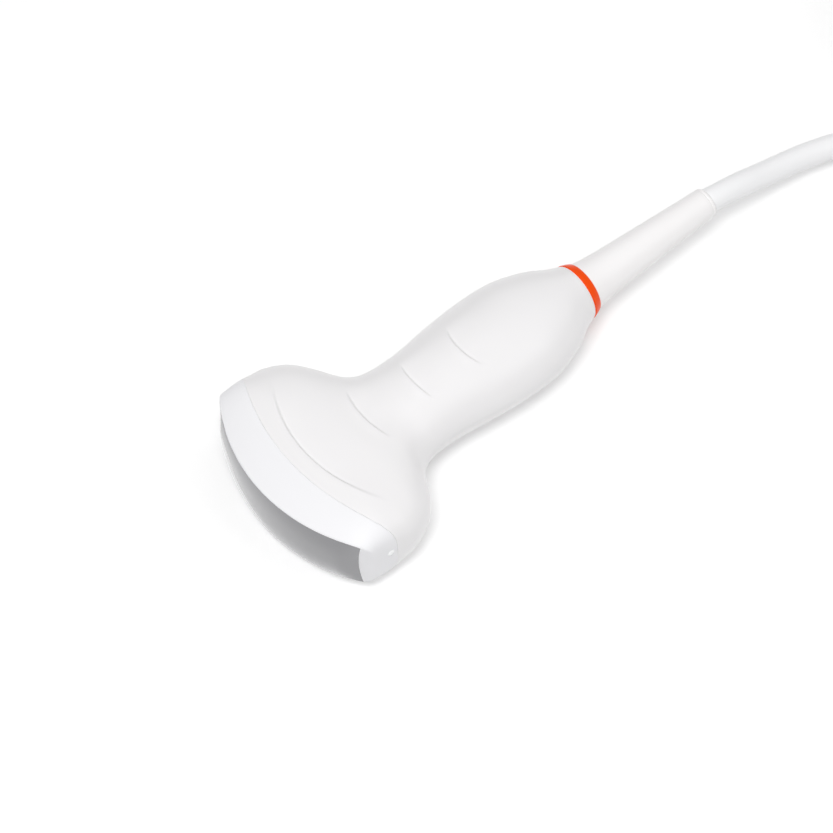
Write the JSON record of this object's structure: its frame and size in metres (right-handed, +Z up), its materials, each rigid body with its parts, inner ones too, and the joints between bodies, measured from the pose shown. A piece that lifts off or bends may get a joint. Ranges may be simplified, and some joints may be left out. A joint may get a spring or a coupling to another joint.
{
  "type": "ultrasound transducer probe",
  "caption": "Hand-held curved-array ultrasound probe: wide rounded head with a grey lens, waisted white grip, orange tail ring, strain relief, and a cable to a flat plug.",
  "frame": {"origin": "on the table under the middle of the probe, which lies flat on its head and grip", "axes": "+X along the probe from the lens to the cable, +Y across the head, +Z up from the table"},
  "size_m": [0.5585, 0.066, 0.028],
  "materials": {
    "housing": "satin white moulded plastic",
    "lens": "grey silicone rubber",
    "ring": "orange plastic",
    "boot": "white elastomer",
    "cable": "white cable jacket",
    "tie": "woven hook-and-loop strap",
    "plug": "satin white moulded plastic",
    "block": "dark grey plastic",
    "contact": "gold-plated",
    "board": "glass-epoxy circuit board",
    "flex": "polyimide film",
    "frame": "bare aluminium",
    "ceramic": "sintered",
    "matching": "filled epoxy",
    "backing": "loaded rubber",
    "clamp": "turned",
    "wires": "bundle of fine coax"
  },
  "bodies": {
    "root": {"nosepiece": "housing", "handle_upper": "housing", "handle_lower": "housing", "acoustic_lens": "lens", "outer_matching_layer": "matching", "inner_matching_layer": "matching", "piezo_array": "ceramic", "backing_block": "backing", "array_frame": "frame", "board_upper": "board", "board_lower": "board", "board_spacers": "clamp", "flex_upper": "flex", "flex_lower": "flex", "cable_clamp": "clamp", "cable_inner": "cable", "wire_bundle": "wires", "colour_ring": "ring", "strain_relief": "boot", "cable": "cable", "cable_hank": "cable", "cable_tie": "tie", "cable_lead": "cable", "plug_base": "plug", "plug_cover": "plug", "plug_contact_block": "block", "plug_contacts": "contact", "plug_board": "board", "plug_boot": "boot"}
  },
  "joints": []
}
